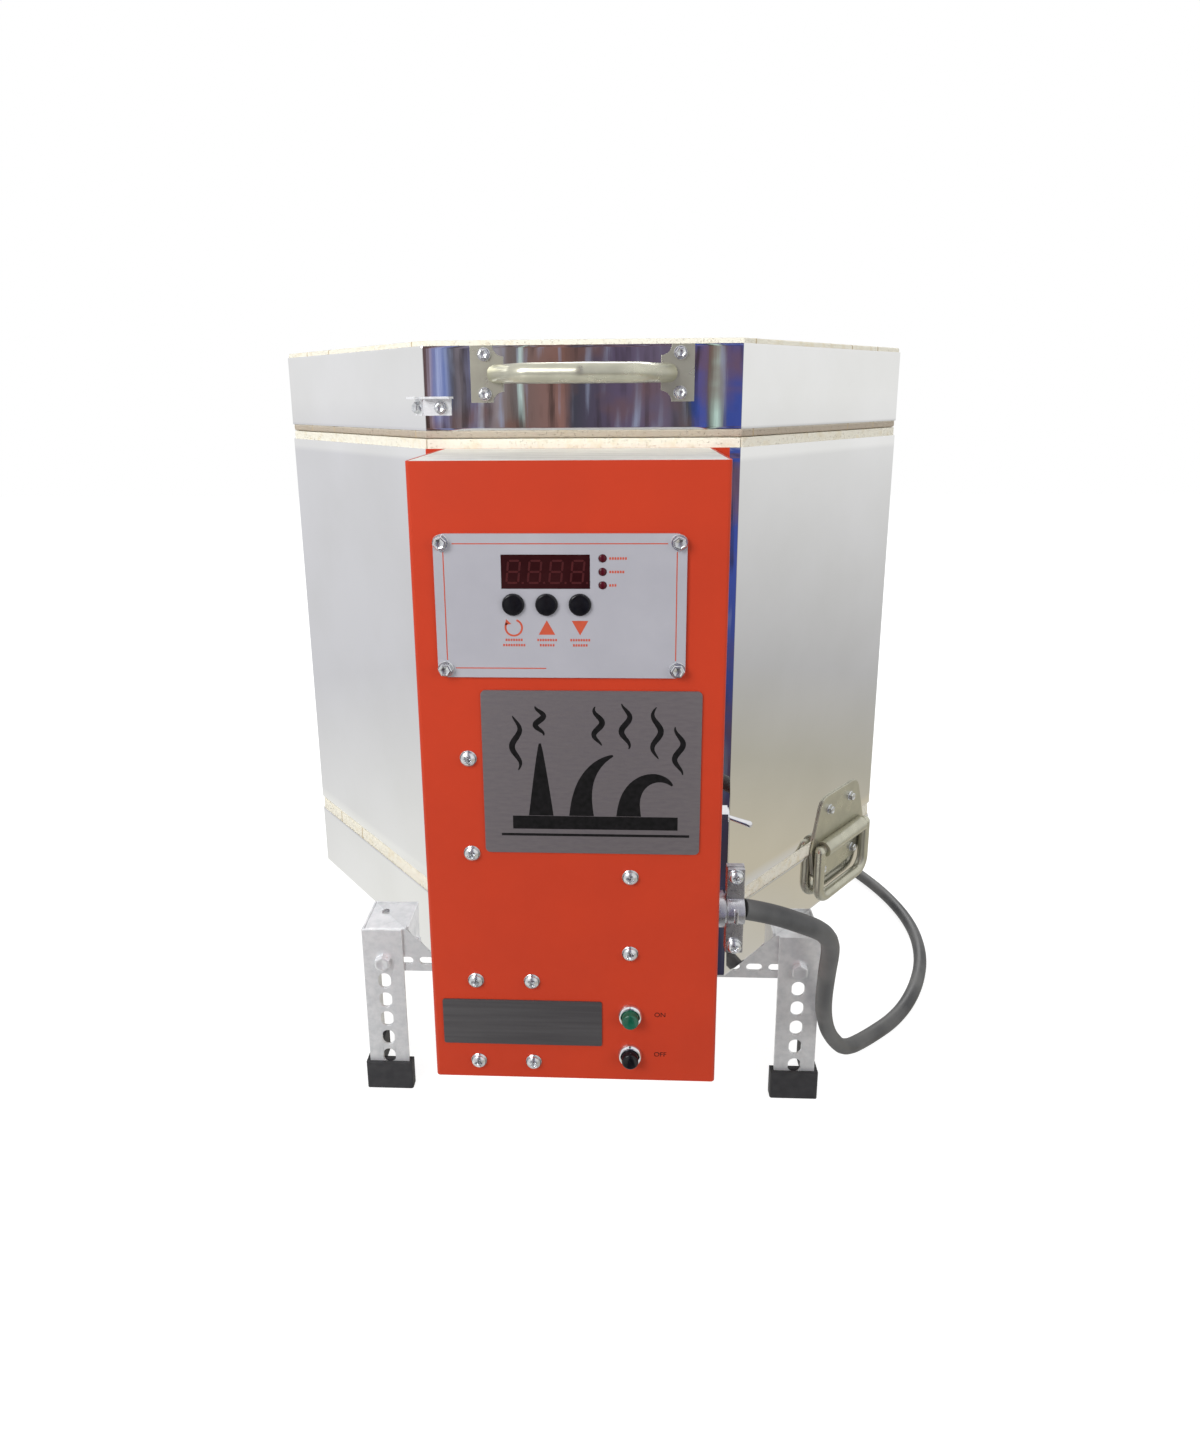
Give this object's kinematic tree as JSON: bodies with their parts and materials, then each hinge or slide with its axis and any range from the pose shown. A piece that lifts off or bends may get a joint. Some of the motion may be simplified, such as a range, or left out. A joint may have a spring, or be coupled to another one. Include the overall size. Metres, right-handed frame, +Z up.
{
  "type": "electric kiln",
  "caption": "Octagonal top-loading firebrick kiln in a stainless jacket on a slotted-angle stand, with a hinged lid, a control box and a mains cord.",
  "frame": {"origin": "on the floor under the middle of the kiln's box, without its cord", "axes": "+Z up, -Y towards the front with the control box, +X to the right seen from the front"},
  "size_m": [0.6102, 0.7388, 0.6227],
  "materials": {
    "firebrick": "matte",
    "stainless": "polished",
    "zinc_plate": "satin",
    "galvanised": "satin",
    "box_paint": "satin",
    "bare_steel": "satin",
    "face_plate": "satin",
    "display_glass": "gloss",
    "lamp_red": "gloss",
    "black_gloss": "gloss",
    "green_gloss": "gloss",
    "badge_metal": "satin",
    "label_metal": "satin",
    "chrome": "polished",
    "screw_zinc": "satin",
    "clamp_zinc": "satin",
    "cord_rubber": "matte",
    "cap_rubber": "matte",
    "element_wire": "matte",
    "porcelain": "gloss",
    "brass": "satin",
    "board_green": "satin",
    "gear_black": "satin",
    "gear_clear": "satin",
    "core_steel": "satin"
  },
  "bodies": {
    "kiln_body": {"floor_slab": "firebrick", "brick_course_lower": "firebrick", "brick_course_middle": "firebrick", "brick_course_upper": "firebrick", "base_band": "stainless", "jacket": "stainless", "seam_strips": "stainless", "heating_elements": "element_wire", "element_sleeves": "porcelain", "element_terminals": "brass", "thermocouple": "porcelain", "thermocouple_block": "porcelain", "stand_rails_long": "galvanised", "stand_rails_short": "galvanised", "stand_legs": "galvanised", "foot_caps": "cap_rubber", "stand_bolts": "screw_zinc", "box_back_plate": "box_paint", "box_cover": "box_paint", "box_top_plate": "bare_steel", "controller_plate": "face_plate", "display_window": "display_glass", "indicator_lamps": "lamp_red", "controller_board": "board_green", "board_posts": "chrome", "badge_plate": "badge_metal", "label_plate": "label_metal", "push_button_bodies": "chrome", "toggle_body": "chrome", "contactor": "gear_black", "power_relay": "gear_clear", "control_transformer": "core_steel", "terminal_block": "gear_black", "cord_clamp_body": "clamp_zinc", "cord_clamp_strap": "clamp_zinc", "box_screws": "screw_zinc", "cord_inner_end": "cord_rubber", "power_cord": "cord_rubber", "cord_end": "cord_rubber", "cord_coil": "cord_rubber", "power_plug": "cord_rubber", "hinge_bracket": "zinc_plate", "hinge_rod": "zinc_plate", "carry_plates": "zinc_plate", "body_screws": "screw_zinc"},
    "lid": {"lid_slab": "firebrick", "lid_band": "stainless", "lid_handle": "zinc_plate", "lid_screws": "screw_zinc", "lid_band_clip": "galvanised", "hinge_leaf": "zinc_plate"},
    "program_key": {"program_key": "black_gloss"},
    "up_key": {"up_key": "black_gloss"},
    "down_key": {"down_key": "black_gloss"},
    "start_button": {"start_button": "green_gloss"},
    "stop_button": {"stop_button": "black_gloss"},
    "toggle_lever": {"toggle_lever": "chrome"},
    "carry_bail_right": {"carry_bail_right": "zinc_plate"},
    "carry_bail_left": {"carry_bail_left": "zinc_plate"}
  },
  "joints": [
    {"name": "lid_hinge", "type": "hinge", "parent": "kiln_body", "child": "lid", "pos_m": [0, 0.3143, 0.5642], "axis": [-1, 0, 0], "range_deg": [0, 100]},
    {"name": "program_key_press", "type": "slide", "parent": "kiln_body", "child": "program_key", "axis": [0, 1, 0], "range_m": [0, 0.0015], "stiffness_N_per_m": 300, "springref_m": -0.001},
    {"name": "up_key_press", "type": "slide", "parent": "kiln_body", "child": "up_key", "axis": [0, 1, 0], "range_m": [0, 0.0015], "stiffness_N_per_m": 300, "springref_m": -0.001},
    {"name": "down_key_press", "type": "slide", "parent": "kiln_body", "child": "down_key", "axis": [0, 1, 0], "range_m": [0, 0.0015], "stiffness_N_per_m": 300, "springref_m": -0.001},
    {"name": "start_button_press", "type": "slide", "parent": "kiln_body", "child": "start_button", "axis": [0, 1, 0], "range_m": [0, 0.0025], "stiffness_N_per_m": 500, "springref_m": -0.0015},
    {"name": "stop_button_press", "type": "slide", "parent": "kiln_body", "child": "stop_button", "axis": [0, 1, 0], "range_m": [0, 0.0025], "stiffness_N_per_m": 500, "springref_m": -0.0015},
    {"name": "toggle_swing", "type": "hinge", "parent": "kiln_body", "child": "toggle_lever", "pos_m": [0.0885, -0.2865, 0.3284], "axis": [0, -1, 0], "range_deg": [0, 40]},
    {"name": "bail_right_lift", "type": "hinge", "parent": "kiln_body", "child": "carry_bail_right", "pos_m": [0.21998, -0.10577, 0.2094], "axis": [-0.7071, -0.7071, 0], "range_deg": [0, 90]},
    {"name": "bail_left_lift", "type": "hinge", "parent": "kiln_body", "child": "carry_bail_left", "pos_m": [-0.21998, 0.19277, 0.2094], "axis": [0.7071, 0.7071, 0], "range_deg": [0, 90]}
  ]
}
